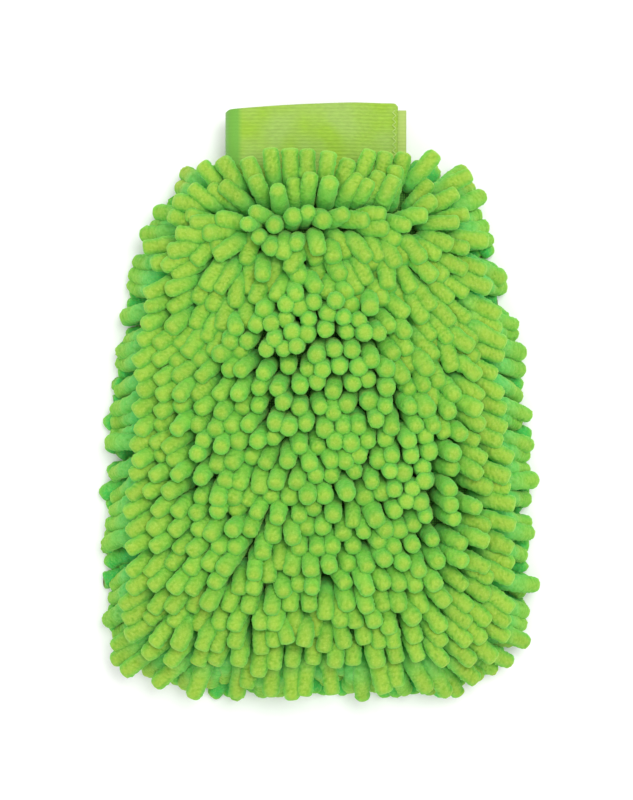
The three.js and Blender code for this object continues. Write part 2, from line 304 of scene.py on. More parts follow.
def elastic_material():
    """Knitted elastic: rubber cores 1.7 mm apart wrapped in textured polyester. Each core stands up
    as a rib with a broken pale line of yarn along it, and the furrows between get a little painted shade."""
    material, tree, shader = new_material("ribbed_lime_elastic")
    rib_shade = add_node(tree, "Attribute", {"attribute_name": "ridge"}).outputs["Fac"]
    fold = add_node(tree, "Attribute", {"attribute_name": "fold"}).outputs["Fac"]
    behind = add_node(tree, "Attribute", {"attribute_name": "behind"}).outputs["Fac"]
    place = add_node(tree, "TexCoord").outputs["Object"]
    # Painted shade: furrows between the ribs are a little darker than the rib tops
    ramp = add_node(tree, "ValToRGB", None, Fac=rib_shade)
    set_ramp(ramp, [(0.0, "8bb032"), (0.4, "90b435"), (1.0, "94b73b")])
    # Yarn loops along each rib are about 2.5 mm long
    stretched = add_node(tree, "Mapping", {"Scale": (0.3, 1.0, 1.0)}, Vector=place)
    yarn = add_node(tree, "TexNoise", {"Scale": 1 / (0.8 * MM), "Detail": 2.0},
                    Vector=stretched.outputs["Vector"])
    streak = add_node(tree, "MapRange",
                      {"From Min": 0.35, "From Max": 0.7, "To Min": 0.92, "To Max": 1.08},
                      Value=yarn.outputs["Fac"])
    # Where the elastic has been stretched, soft patches about 15 mm across are a touch paler
    worn = add_node(tree, "TexNoise", {"Scale": 1 / (15 * MM), "Detail": 1.0}, Vector=place)
    faded = add_node(tree, "MapRange", {"From Min": 0.35, "From Max": 0.7, "To Min": 1.04, "To Max": 0.9},
                     Value=worn.outputs["Fac"])
    toned = add_node(tree, "HueSaturation", None, Color=ramp.outputs["Color"],
                     Value=streak.outputs["Result"], Saturation=faded.outputs["Result"])
    # Painted shade: the folded left edge is painted a darker green where it turns from the light;
    # painted light: the back layer's free edge is painted paler
    fold_shaded = add_node(tree, "Mix", {"data_type": "RGBA"}, _0=fold, _6=toned.outputs["Color"])
    fold_shaded.inputs[MIX_SECOND].default_value = linear("69a633")
    behind_lit = add_node(tree, "Mix", {"data_type": "RGBA"}, _0=behind, _6=fold_shaded.outputs[MIX_RESULT])
    behind_lit.inputs[MIX_SECOND].default_value = linear("a4bc5c")
    tree.links.new(behind_lit.outputs[MIX_RESULT], shader.inputs["Base Color"])
    fine = add_node(tree, "TexNoise", {"Scale": 1 / (0.35 * MM), "Detail": 2.0}, Vector=place)
    bump = add_node(tree, "Bump", {"Strength": 0.4, "Distance": 0.12 * MM}, Height=fine.outputs["Fac"])
    tree.links.new(bump.outputs["Normal"], shader.inputs["Normal"])
    set_inputs(shader, {"Roughness": 0.72, "IOR": 1.5, "Sheen Weight": 0.25})
    return material


def thread_material():
    """Spun polyester sewing thread: two plies twisted about 1 mm a turn, pale lime with a slight gloss."""
    material, tree, shader = new_material("pale_lime_thread")
    place = add_node(tree, "TexCoord").outputs["Object"]
    ply = add_node(tree, "TexWave", {"bands_direction": "DIAGONAL", "Scale": WAVE_PER_MM / 0.6},
                   Vector=place)
    ramp = add_node(tree, "ValToRGB", None, Fac=ply.outputs["Fac"])
    set_ramp(ramp, [(0.0, "9cc054"), (1.0, "c0d47c")])
    tree.links.new(ramp.outputs["Color"], shader.inputs["Base Color"])
    bump = add_node(tree, "Bump", {"Strength": 0.5, "Distance": 0.08 * MM}, Height=ply.outputs["Fac"])
    tree.links.new(bump.outputs["Normal"], shader.inputs["Normal"])
    set_inputs(shader, {"Roughness": 0.5, "IOR": 1.54})
    return material


# ---------------------------------------------------------------- where the noodles grow

EXTRA_AT_PARTING = 0.55  # how many more noodles a row has there, as a share
ROOT_STRAY = (0.8, 1.1)  # how far a root strays from its place across and along the mitt


def length_share(y):
    """How far y lies from the finger end to the mouth, from 0 to 1."""
    return (y - FINGER_END) / (MOUTH - FINGER_END)


def near(share, centre, width):
    """1 at the centre, falling smoothly to nothing about two widths away."""
    return np.exp(-((share - centre) / width) ** 2)


def row_places(row, rows, inset):
    """The roots of one row of noodles, as x and y: the end ones at the seam, the rest jittered a little."""
    pitch = (MOUTH - FINGER_END - 2) / rows
    y = MOUTH - 1 - (row + 0.5) * pitch
    half = float(half_width(np.array(y), inset))
    crowding = 1 + EXTRA_AT_PARTING * near(length_share(y), PARTING, 0.055)
    count = int(round(2 * half / NOODLE_PITCH * crowding)) + row % 2
    x = np.linspace(-half, half, count)
    x[1:-1] += draw.normal(0, ROOT_STRAY[0], count - 2)
    places = np.stack([x, y + draw.normal(0, ROOT_STRAY[1], count)], axis=1)
    between = float(half_width(np.array(y - pitch / 2), inset)) - 1
    if abs(between + 1 - half) > 1.8 and row < rows - 1:
        # Where the outline runs slantwise, one more noodle on each edge closes the gap
        places = np.concatenate([places, [[-between, y - pitch / 2], [between, y - pitch / 2]]])
    if row == rows - 1:
        # The last row also fills the straight edge at the finger end
        width = HALF_WIDTH - CORNER
        x = np.linspace(-width, width, int(round(2 * width / NOODLE_PITCH)))
        places = np.concatenate([places, np.stack([x, np.full(len(x), FINGER_END + inset)], axis=1)])
        corner_y = FINGER_END + CORNER - math.sqrt((CORNER - inset) ** 2 - NOODLE_PITCH ** 2)
        corner_x = width + NOODLE_PITCH
        places = np.concatenate([places, [[-corner_x, corner_y], [corner_x, corner_y]]])
    return places


def smooth_noise(x, y, size, seed):
    """A gentle random wobble over the mitt with bumps of about the given size in millimetres."""
    local = np.random.default_rng(seed)
    total = np.zeros_like(x)
    for _ in range(6):
        angle = local.uniform(0, 2 * math.pi)
        phase = local.uniform(0, 2 * math.pi)
        stretch = local.uniform(0.7, 1.4) * 2 * math.pi / size
        total += np.sin((x * math.cos(angle) + y * math.sin(angle)) * stretch + phase)
    return total / 2.4


def step_between(value, start, end):
    t = np.clip((value - start) / (end - start), 0, 1)
    return t * t * (3 - 2 * t)


# How the palm side has been brushed: how far, in millimetres, a tip ends up to the right of its root
# and towards the wrist. One line per place along the mitt (0 finger end, 1 mouth), six places across.
BRUSHED_ACROSS = np.array([-1.0, -0.6, -0.2, 0.2, 0.6, 1.0])
BRUSHED = [
    (0.00, [(-23, -17), (-4, -17), (0, -16), (0, -16), (6, -16), (27, -18)]),
    (0.06, [(-24, -16), (-5, -16), (0, -15), (0, -15), (7, -16), (29, -15)]),
    (0.12, [(-23, -12), (-6, -15), (-1, -15), (1, -15), (8, -16), (27, -13)]),
    (0.20, [(-16, -9), (-8, -11), (-2, -12), (6, -11), (7, -8), (26, -11)]),
    (0.36, [(-15, -8), (-7, -9), (-3, -12), (2, -9), (0, -1), (26, -8)]),
    (0.54, [(-14, -9), (-7, -9), (-2, -8), (1, -7), (2, -10), (26, -9)]),
    (0.67, [(-15, -7), (-12, -14), (-1, -4), (0, -4), (8, -18), (25, -11)]),
    (0.77, [(-18, -3), (-7, -22), (3, -8), (0, -6), (14, -22), (25, -10)]),
    (0.84, [(-18, 0), (-12, -18), (3, -18), (2, -22), (17, -20), (26, -5)]),
    (0.89, [(-15, 1), (-26, 3), (2, -6), (17, -8), (20, -12), (26, 3)]),
    (0.94, [(-10, 3), (-20, 12), (0, 12), (9, 11), (5, 23), (22, 6)]),
    (1.00, [(-5, 9), (-4, 22), (-2, 22), (1, 22), (4, 24), (18, 14)]),
]


def palm_brushing(x, y):
    """Sideways and lengthways travel of each palm noodle's tip, read off the brushing chart."""
    u = np.clip(x / half_width(y, 0.0), -1, 1)
    v = length_share(y)
    places = [line[0] for line in BRUSHED]
    chart = np.array([line[1] for line in BRUSHED], float)
    parting = near(v, PARTING, 0.04) * (np.abs(u) < 0.75)
    travel = []
    for way in (0, 1):
        lines = [np.interp(v, places, chart[:, column, way]) for column in range(len(BRUSHED_ACROSS))]
        spacing = BRUSHED_ACROSS[1] - BRUSHED_ACROSS[0]
        weights = [np.maximum(0, 1 - np.abs(u - across) / spacing) for across in BRUSHED_ACROSS]
        stray = 1.3 * smooth_noise(x, y, 45, 3 + way) + draw.normal(0, 1, x.shape) * (1.3 + 5 * parting)
        travel.append(sum(w * line for w, line in zip(weights, lines)) + stray)
    return travel


def back_brushing(x, y):
    """The back noodles fan out from the middle, pressed flat between the cloth and the table."""
    u = x / half_width(y, 0.0)
    v = length_share(y)
    sideways = 17 * np.sign(u) * np.abs(u) ** 0.6 * (1 - 0.35 * step_between(v, 0.12, 0.0))
    sideways = sideways * (1 - 0.5 * step_between(v, 0.88, 1.0))
    lengthways = 16 * (step_between(v, 0.9, 1.0) - step_between(v, 0.3, 0.0)) - 6
    return sideways + draw.normal(0, 1.5, x.shape), lengthways + draw.normal(0, 2.0, x.shape)


def unit(vectors):
    return vectors / np.maximum(np.linalg.norm(vectors, axis=-1, keepdims=True), 1e-9)


class Pile:
    """Every noodle of one side while it settles: joints, lengths, radii and which row each belongs to."""

    def __init__(self, side, rows):
        places = [row_places(row, rows, ROOT_INSET[side]) for row in range(rows)]
        self.side = side
        self.row = np.concatenate([np.full(len(p), i) for i, p in enumerate(places)])
        self.root = np.concatenate(places)
        count = len(self.root)
        self.length = NOODLE_LENGTH * draw.normal(1.0, LENGTH_SPREAD, count)
        self.radius = NOODLE_RADIUS * draw.normal(1.0, RADIUS_SPREAD, count)
        self.tone = draw.uniform(0, 1, count)
        x, y = self.root.T
        if side > 0:
            travel = np.stack(palm_brushing(x, y), axis=1)
            base = np.stack([x, y, palm_top(x, y) - 0.5], axis=1)
        else:
            travel = np.stack(back_brushing(x, y), axis=1)
            base = np.stack([x, y, back_bottom(x, y) + 0.5], axis=1)
        # The outermost noodles have nothing beside them, so they hang down over the seam
        rim = np.clip((np.abs(x) / half_width(y, 0.0) - 0.85) / 0.12, 0, 1)
        end = np.clip(1.1 - (y - FINGER_END) / 14, 0, 1)
        droop = np.maximum(rim, end)[:, None] ** 2
        # The lower half stands and the upper half falls over: late at the parting, early beside it
        share = length_share(y)
        late = 1 + 1.3 * near(share, PARTING, 0.035) - 0.55 * near(share, PARTING - 0.13, 0.06)
        flop = np.linspace(0, 1, JOINTS - 1)[None, :] ** late[:, None]
        flop = flop / flop.mean(axis=1, keepdims=True)
        bend = flop * (1 - droop) + droop
        ragged = draw.uniform(0.8, 1.2, (count, 1))
        travel = travel * (1 - RIM_HANG[side] * droop * ragged)
        travel[:, 1] += droop[:, 0] * draw.normal(0, 3.0, count) * (side > 0)
        slant = np.linalg.norm(travel, axis=1)[:, None] / self.length[:, None]
        across = np.clip(slant * bend, 0, 0.98)
        turn_over = 2 * droop * ragged * np.minimum(1, np.linspace(0.3, 1.6, JOINTS - 1))[None, :]
        rise = np.sqrt(1 - across ** 2) * (1 - turn_over * (side > 0))
        flat = unit(np.concatenate([travel, np.zeros((count, 1))], axis=1))
        heading = unit(flat[:, None] * across[..., None] + np.array([0, 0, side]) * rise[..., None])
        stride = (self.length / (JOINTS - 1))[:, None, None]
        self.target = np.concatenate([base[:, None], base[:, None] + np.cumsum(heading * stride, axis=1)],
                                     axis=1)


def close_pairs(points, reach):
    """Pairs of points closer than reach, found through a grid of cells."""
    cell = np.floor(points / reach).astype(np.int64)
    cell -= cell.min(0) - 1
    size = cell.max(0) + 2
    key = (cell[:, 0] * size[1] + cell[:, 1]) * size[2] + cell[:, 2]
    order = np.argsort(key, kind="stable")
    ordered = key[order]
    found = []
    for dx in (-1, 0, 1):
        for dy in (-1, 0, 1):
            for dz in (-1, 0, 1):
                if (dx, dy, dz) < (0, 0, 0):
                    continue
                other = key + (dx * size[1] + dy) * size[2] + dz
                start = np.searchsorted(ordered, other, "left")
                count = np.searchsorted(ordered, other, "right") - start
                first = np.repeat(np.arange(len(points)), count)
                within = np.arange(count.sum()) - np.repeat(np.cumsum(count) - count, count)
                second = order[np.repeat(start, count) + within]
                if (dx, dy, dz) == (0, 0, 0):
                    keep = first < second
                    first, second = first[keep], second[keep]
                near = ((points[first] - points[second]) ** 2).sum(1) < reach * reach
                found.append(np.stack([first[near], second[near]]))
    return np.concatenate(found, axis=1)


RIM_HANG = {1: 0.42, -1: 0.0}  # how much less the outermost noodles reach out, as they hang instead
SETTLE_STEPS = 170
SHAPE_PULL = 0.04  # share of the way back to its brushed shape that a noodle springs in a step
STIFFNESS = 0.3  # how strongly a bend spreads along the noodle
SOFTNESS = 0.84  # noodles press into each other a little
PUSH = 0.42  # share of an overlap that each of two noodles gives way by in a step
GIVE = 0.6  # share of all its pushes that a joint follows in a step
LARGEST_STEP = 1.2
UNDERNEATH = 24.0  # back noodles further than this from the outline carry the mitt
CRUSHED = 0.55  # and are pressed to this share of their thickness


def settle(piles):
    """Lets all noodles push each other apart, rest on cloth and table, and keep their lengths."""
    target = np.concatenate([p.target for p in piles])
    count = len(target)
    side = np.concatenate([np.full(len(p.root), p.side) for p in piles])
    length = np.concatenate([p.length for p in piles])
    radius = np.concatenate([p.radius for p in piles])
    slim = np.interp(np.arange(JOINTS), [0, 2, 5, JOINTS - 2, JOINTS - 1], [0.4, 0.5, 1, 1, 0.85])
    inside = np.abs(target[:, 0, 0]) < half_width(target[:, 0, 1], UNDERNEATH)
    inside &= (target[:, 0, 1] > FINGER_END + UNDERNEATH) & (side < 0)
    thickness = radius[:, None] * slim[None, :] * np.where(inside, CRUSHED, 1.0)[:, None]
    stride = (length / (JOINTS - 1))[:, None]
    owner = np.repeat(np.arange(count), JOINTS)
    points = target.copy()
    weight = np.minimum(1, np.arange(JOINTS) / 2.0)[None, :, None] * np.ones((count, 1, 1))
    for step in range(SETTLE_STEPS):
        if step % 6 == 0:
            first, second = close_pairs(points.reshape(-1, 3), 2.3 * NOODLE_RADIUS)
            other = owner[first] != owner[second]
            first, second = first[other], second[other]
            want = (thickness.ravel()[first] + thickness.ravel()[second]) * SOFTNESS
        flat = points.reshape(-1, 3)
        gap = flat[second] - flat[first]
        apart = np.maximum(np.linalg.norm(gap, axis=1), 1e-6)
        push = gap * (PUSH * np.maximum(0, want - apart) / apart)[:, None]
        moved = np.empty_like(flat)
        for axis in range(3):
            moved[:, axis] = (np.bincount(second, push[:, axis], len(flat))
                              - np.bincount(first, push[:, axis], len(flat)))
        moved = moved.reshape(points.shape)
        points += np.clip(moved * GIVE, -LARGEST_STEP, LARGEST_STEP) * weight
        points += (target - points) * SHAPE_PULL * weight
        strain = points - target
        middle = (strain[:, :-2] + strain[:, 2:]) / 2
        points[:, 1:-1] += (middle - strain[:, 1:-1]) * STIFFNESS * weight[:, 1:-1]
        keep_clear(points, thickness, side)
        for joint in range(1, JOINTS):
            run = points[:, joint] - points[:, joint - 1]
            points[:, joint] = points[:, joint - 1] + unit(run) * stride
    cut = 0
    for pile in piles:
        pile.points = points[cut:cut + len(pile.root)]
        cut += len(pile.root)


def keep_clear(points, thickness, side):
    """Keeps noodles out of the cloths, the cuff and the table."""
    x, y, z = points[..., 0], points[..., 1], points[..., 2]
    over = (np.abs(x) < half_width(y, 0.0)) & (y < MOUTH) & (y > FINGER_END)
    later = np.arange(JOINTS)[None, :] > 1
    palm = side[:, None] > 0
    low = np.where(over & palm & later, palm_top(x, y) + 0.7 * thickness, thickness * 0.9)
    cuff_top = (CUFF_HIGH[2] + 0.8) * np.ones_like(x)
    over_cuff = (np.abs(x) < CUFF_HIGH[0] + 2) & (y >= MOUTH) & palm
    low = np.where(over_cuff, cuff_top + 0.7 * thickness, low)
    high = np.where(over & ~palm & later, back_bottom(x, y) - 0.6 * thickness, 1e3)
    under_cuff = (np.abs(x) < CUFF_HIGH[0] + 2) & (y >= MOUTH) & ~palm
    high = np.where(under_cuff, CUFF_LOW[2] - 0.7 * thickness, high)
    points[:, 1:, 2] = np.maximum(np.minimum(z, high), np.minimum(low, np.maximum(high, 1.0)))[:, 1:]


# ---------------------------------------------------------------- noodle meshes

FINE = {"rings": 60, "sides": 24}
COARSE = {"rings": 22, "sides": 9}
SEEN_EDGE = 22.0  # back noodles this near the outline can be seen
SIDE_LIGHT = {1: 0.8, -1: 0.6}  # painted light: how lime the outer sides are painted, beside the top of the pile
TIP_RINGS = 8
TIP_DEPTH = 0.8  # the cut end is blunt: it bulges out by less than a noodle's radius
PRESSED = 1.0  # noodles lying on the table flatten within this height
RING_SPACING = 1.9  # the twisted core pinches the plush into faint rings this far apart
RING_HEIGHT = 0.05
TUFT = 0.15  # how far single tufts stand out of the surface
NECK = 0.16  # how much thinner a noodle is where it leaves the cloth
TAPER = 0.08
SWELL = 0.05


def through(points, places):
    """A smooth curve through each noodle's joints, sampled at places from 0 to JOINTS - 1."""
    index = np.clip(places.astype(int), 0, JOINTS - 2)
    t = (places - index)[..., None]
    noodle = np.arange(len(points))[:, None]
    before = points[noodle, np.maximum(index - 1, 0)]
    here, after = points[noodle, index], points[noodle, index + 1]
    beyond = points[noodle, np.minimum(index + 2, JOINTS - 1)]
    return 0.5 * (2 * here + (after - before) * t + (2 * before - 5 * here + 4 * after - beyond) * t ** 2
                  + (3 * here - before - 3 * after + beyond) * t ** 3)


def wander(shape, steps):
    """Smooth random numbers along the last axis of the given shape, one knot every few steps."""
    knots = shape[-1] // steps + 2
    values = draw.normal(0, 1, shape[:-1] + (knots,))
    places = np.arange(shape[-1]) / steps
    index = places.astype(int)
    t = places - index
    t = t * t * (3 - 2 * t)
    return values[..., index] * (1 - t) + values[..., index + 1] * t


def facing_out(points, facing, side):
    """How far each spot of a noodle faces away from the mitt: up on the palm, down on the back, and
    sideways near the outline. It sets the share of painted light: such spots are painted a lighter lime."""
    x, y = points[..., 0], points[..., 1]
    edge_x = np.sign(x) * step_between(np.abs(x) / half_width(y, 0.0), 0.75, 1.0)
    edge_y = step_between(y, MOUTH - 15, MOUTH) - step_between(y, FINGER_END + 15, FINGER_END)
    sideways = facing[..., 0] * edge_x + facing[..., 1] * edge_y
    return np.clip(np.maximum(side * facing[..., 2], SIDE_LIGHT[side] * sideways), 0, 1)


def noodle_geometry(points, length, radius, tone, side, rings, sides):
    """Points, quads and shading values for a batch of noodles: along, tone, relief height for painted
    shade in the hollows, and facing share for painted light.
    """
    count = len(points)
    straight = length - TIP_DEPTH * radius
    body_part = np.linspace(0, 1, rings - TIP_RINGS)[None, :] * straight[:, None]
    tip_angle = np.linspace(0, 0.95 * math.pi / 2, TIP_RINGS + 1)[None, 1:]
    tip_part = straight[:, None] + TIP_DEPTH * radius[:, None] * np.sin(tip_angle)
    distance = np.concatenate([body_part, tip_part], axis=1)
    profile = np.concatenate([np.ones(rings - TIP_RINGS), np.cos(tip_angle[0]) ** 0.65])[None, :]
    centre = through(points, distance / length[:, None] * (JOINTS - 1))
    tangent = unit(np.gradient(centre, axis=1))
    guide = unit(np.cross(tangent[:, 0], [0.31, 0.87, 0.38]))
    normals = np.empty_like(tangent)
    for ring in range(rings):
        guide = unit(guide - (guide * tangent[:, ring]).sum(1, keepdims=True) * tangent[:, ring])
        normals[:, ring] = guide
    side_way = np.cross(tangent, normals)
    neck = 1 - NECK * (1 - step_between(distance, 0, 5)) - TAPER * (distance / length[:, None]) ** 3
    swell = 1 + SWELL * wander((count, rings), max(2, rings // 8))
    body = radius[:, None] * profile * neck * swell
    angle = np.linspace(0, 2 * math.pi, sides, endpoint=False)
    phase = draw.uniform(0, 2 * math.pi, (count, 1, 1))
    wave = np.cos(2 * math.pi * distance[:, :, None] / RING_SPACING + angle[None, None, :] + phase)
    wave = wave * (0.6 + 0.4 * wander((count, 1, rings), 4).transpose(0, 2, 1))
    rough = draw.normal(0, 1, (count, rings, sides))
    rough = (rough + 0.8 * np.roll(rough, 1, axis=1)) / 1.28
    relief = (RING_HEIGHT * wave + TUFT * rough) * np.sqrt(profile)[:, :, None]
    reach = body[:, :, None] + relief
    spoke = (normals[:, :, None] * np.cos(angle)[None, None, :, None]
             + side_way[:, :, None] * np.sin(angle)[None, None, :, None])
    ring_points = centre[:, :, None] + spoke * reach[..., None]
    toward_tip = np.sqrt(1 - profile ** 2)[..., None, None]
    facing = spoke * profile[..., None, None] + tangent[:, :, None] * toward_tip
    # Share of painted light: spots facing away from the mitt are painted a lighter lime
    lit_face = facing_out(ring_points, facing, side)
    root_end = centre[:, :1] - tangent[:, :1] * 0.2
    tip_end = centre[:, -1:] + tangent[:, -1:] * (radius * 0.015)[:, None, None]
    per_noodle = rings * sides + 2
    block = np.concatenate([ring_points.reshape(count, -1, 3), root_end, tip_end], axis=1)
    # What would sink into the table is pressed flat against it
    height = block[..., 2]
    flattened = PRESSED * np.exp(np.minimum(height / PRESSED - 1, 0))
    block[..., 2] = np.where(height < PRESSED, flattened, height)
    around = np.arange(sides)
    after = (around + 1) % sides
    root, tip, last = rings * sides, rings * sides + 1, (rings - 1) * sides
    root_fan = np.stack([after, around, np.full(sides, root), np.full(sides, root)], axis=1)
    tip_fan = np.stack([last + around, last + after, np.full(sides, tip), np.full(sides, tip)], axis=1)
    one = np.concatenate([grid_quads(rings, sides, wrap_columns=True), root_fan, tip_fan])
    quads = (one[None] + (np.arange(count) * per_noodle)[:, None, None]).reshape(-1, 4)
    ends = np.zeros((count, 1))
    along = np.concatenate([np.repeat(distance / length[:, None], sides, axis=1), ends, ends + 1], axis=1)
    # The tip's share of painted light
    lit_tip = facing_out(centre[:, -1:], tangent[:, -1:], side)
    lit_face = np.concatenate([lit_face.reshape(count, -1), ends, lit_tip], axis=1)
    # Relief height, used for the painted shade in the hollows between tufts
    relief_shade = np.concatenate([(0.5 + relief).reshape(count, -1), ends + 0.5, ends + 0.5], axis=1)
    tones = np.repeat(tone, per_noodle)
    return block.reshape(-1, 3), quads, along.ravel(), tones, relief_shade.ravel(), lit_face.ravel()


def noodle_piece(name, pile, rows):
    """One mesh with all the noodles of the given rows: fine where they can be seen, coarse underneath."""
    chosen = np.isin(pile.row, rows)
    x, y = pile.root.T
    near_edge = np.abs(x) > half_width(y, SEEN_EDGE)
    near_edge |= (y < FINGER_END + SEEN_EDGE) | (y > MOUTH - SEEN_EDGE)
    parts = []
    for visible, density in ((True, FINE), (False, COARSE)):
        seen = near_edge if pile.side < 0 else np.ones(len(x), bool)
        pick = chosen & (seen == visible)
        if pick.any():
            parts.append(noodle_geometry(pile.points[pick], pile.length[pick], pile.radius[pick],
                                         pile.tone[pick], pile.side, **density))
    shift = np.cumsum([0] + [len(p[0]) for p in parts[:-1]])
    points = np.concatenate([p[0] for p in parts])
    quads = np.concatenate([p[1] + s for p, s in zip(parts, shift)])
    values = {key: np.concatenate([p[place] for p in parts])
              for place, key in ((2, "along"), (3, "tone"), (4, "relief_shade"), (5, "lit_face"))}
    return mesh_object(name, points, quads, values)


# ---------------------------------------------------------------- the pieces

def stands_for(piece, node, material):
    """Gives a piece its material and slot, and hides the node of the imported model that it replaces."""
    piece.data.materials.append(material)
    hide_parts(node)


PALM_ROWS_BENT, BACK_PAIRS_BENT = 4, 2  # the rows next to the mouth, which are baked in place instead of attached to the mitt


def bend_at_mouth(piece):
    """Bakes the piece's placement into its mesh."""
    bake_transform(piece)


def place_noodles():
    """Grows, settles and meshes both sides; returns the palm and the back pieces."""
    palm = Pile(1, len(PALM_ROWS))
    back = Pile(-1, 2 * len(BACK_PAIRS))
    settle([palm, back])
    chenille = chenille_material()
    palm_pieces, back_pieces = [], []
    for index, node in enumerate(PALM_ROWS):
        piece = noodle_piece(node.replace("row", "noodles"), palm, [index])
        palm_pieces.append(finish_noodles(piece, node, chenille, index < PALM_ROWS_BENT))
    for index, node in enumerate(BACK_PAIRS):
        rows = [2 * index, 2 * index + 1]
        piece = noodle_piece(node.replace("row_pair", "noodles"), back, rows)
        back_pieces.append(finish_noodles(piece, node, chenille, index < BACK_PAIRS_BENT))
    return palm_pieces, back_pieces


def finish_noodles(piece, node, material, over_cuff):
    """Gives a row of noodles its material, hides the node it replaces, and attaches it to the mitt unless it
    lies next to the mouth.
    """
    stands_for(piece, node, material)
    if over_cuff:
        bend_at_mouth(piece)
    else:
        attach(piece, "mitt")
    return piece


def sheet_piece(name, node, low, rise, thickness, inset, side, material):
    """A base cloth or a lining: one domed sheet cut to the sewn outline; side is 1 for palm, -1 for back."""
    rows, columns = 70, 56
    end = MOUTH - LINING_SHORT * (inset > 0)
    y = FINGER_END + inset + (end - FINGER_END - inset) * np.linspace(0, 1, rows) ** 1.15
    u = np.sin(np.linspace(-math.pi / 2, math.pi / 2, columns))
    y, u = np.meshgrid(y, u, indexing="ij")
    x = u * half_width(y, inset)
    height = low + rise * dome(x, y, inset) * side
    height = height + 0.25 * smooth_noise(x, y, 40, 9) * dome(x, y, inset)
    bottom = np.stack([x, y, height], axis=-1).reshape(-1, 3)
    piece = mesh_object(name, *double_skin(bottom + [0, 0, thickness], bottom, rows, columns))
    stands_for(piece, node, material)
    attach(piece, "mitt")
    return piece


RIB_PITCH = 1.7
RIB_HEIGHT = 0.1
ELASTIC = 1.2
CUFF_RIGHT_EDGE = 38.4
CUFF_TUCK = 7.0  # how far the cuff reaches down inside the mouth
FOLD_BAND = 6.3  # the folded left edge gets a band of painted shade this wide


def cuff_front_height(x):
    """Height of the front layer above the cuff's middle: pinched at the right edge, full at the left."""
    full = (CUFF_HIGH[2] - CUFF_LOW[2]) / 2 - 0.7
    pinched = ELASTIC / 2 + 0.05
    return pinched + (full - pinched) * step_between(x, CUFF_RIGHT_EDGE - 5, 14)


def cuff_path():
    """The cuff's cross-section as a line round the wrist: front right edge, left fold, back right edge."""
    half_depth = (CUFF_HIGH[2] - CUFF_LOW[2]) / 2 - 0.7
    left, right = CUFF_LOW[0] + ELASTIC / 2, CUFF_HIGH[0] - ELASTIC / 2
    front_x = np.linspace(CUFF_RIGHT_EDGE, left + half_depth, 60)
    turn = np.linspace(math.pi / 2, 3 * math.pi / 2, 22)[1:-1]
    fold_x = left + half_depth + half_depth * np.cos(turn)
    back_x = np.linspace(left + half_depth, right, 64)
    x = np.concatenate([front_x, fold_x, back_x])
    z = np.concatenate([cuff_front_height(front_x), half_depth * np.sin(turn), -cuff_front_height(back_x)])
    layer = np.concatenate([np.zeros(60), np.linspace(0, 1, 20), np.ones(64)])
    fold = np.concatenate([step_between(front_x, left + FOLD_BAND + 0.5, left + FOLD_BAND), np.ones(20),
                           np.zeros(64)])
    right_end = np.concatenate([np.full(80, CUFF_RIGHT_EDGE), np.full(64, right)])
    across = np.clip(2 * (x - left) / (right_end - left) - 1, -1, 1)
    return x, (CUFF_LOW[2] + CUFF_HIGH[2]) / 2 + z, layer, fold, across


def mouth_ring(across, layer, inset):
    """The open mouth just inside the base cloths, from corner to corner; layer 0 is the palm side."""
    bulge = MOUTH_SHARE * (1 - across ** 4)
    palm = CLOTH_LOW[2] + PALM_RISE * bulge - inset
    back = BACK_HIGH[2] - BACK_SAG * bulge + inset
    return across * half_width(MOUTH, SEAM_INNER + inset), palm * (1 - layer) + back * layer


def cuff_piece(material):
    """The elastic loop: ribs run round the wrist, and it opens to meet the mouth of the mitt."""
    x, z, layer, fold, across = cuff_path()
    rows, columns = 150, len(x)
    start = MOUTH - CUFF_TUCK
    # The top edge rises from left to right with rounded corners, and the back layer ends a little lower
    left_top, right_top = CUFF_HIGH[1] - 3.6, CUFF_HIGH[1] - 0.1
    tilt = np.clip((x - CUFF_LOW[0]) / (CUFF_HIGH[0] - CUFF_LOW[0]), 0, 1)
    top = left_top + (right_top - left_top) * ease_out(tilt * 1.15)
    right_corner = step_between(x, CUFF_RIGHT_EDGE - 2.2, CUFF_RIGHT_EDGE) * (layer < 0.5)
    left_corner = step_between(x, CUFF_LOW[0] + 3.5, CUFF_LOW[0] + 0.6)
    top = top - 1.6 * right_corner ** 2 - 3.2 * layer * step_between(x, 10, 40) - 0.9 * left_corner ** 2
    y = start + (top[None, :] - start) * np.linspace(0, 1, rows)[:, None]
    opened = step_between(y, MOUTH + 8, MOUTH - 0.5)
    ring_x, ring_z = mouth_ring(across, layer, 0.75)
    centre_x = x[None, :] * (1 - opened) + ring_x[None, :] * opened
    centre_z = z[None, :] * (1 - opened) + ring_z[None, :] * opened
    centre_z = centre_z + 0.35 * smooth_noise(centre_x, y, 38, 12) * (1 - opened)
    along_x, along_z = np.gradient(centre_x, axis=1), np.gradient(centre_z, axis=1)
    size = np.hypot(along_x, along_z)
    wave = np.cos(2 * math.pi * y / RIB_PITCH)
    relief = RIB_HEIGHT * wave * (1 - 0.75 * fold[None, :])
    skins = []
    for way in (1, -1):
        grow = way * (ELASTIC / 2 + relief)
        skins.append(np.stack([centre_x + along_z / size * grow, y, centre_z - along_x / size * grow],
                              axis=-1).reshape(-1, 3))
    points, quads = double_skin(skins[0], skins[1], rows, columns)
    behind = layer * step_between(x, CUFF_RIGHT_EDGE - 1.5, CUFF_RIGHT_EDGE - 0.5)
    values = {"ridge": 0.5 + 0.5 * wave, "fold": np.broadcast_to(fold, y.shape),
              "behind": np.broadcast_to(behind, y.shape)}
    piece = mesh_object("elastic_cuff", points, quads,
                        {key: np.tile(value.ravel(), 2) for key, value in values.items()})
    stands_for(piece, "cuff_band", material)
    bend_at_mouth(piece)
    return piece


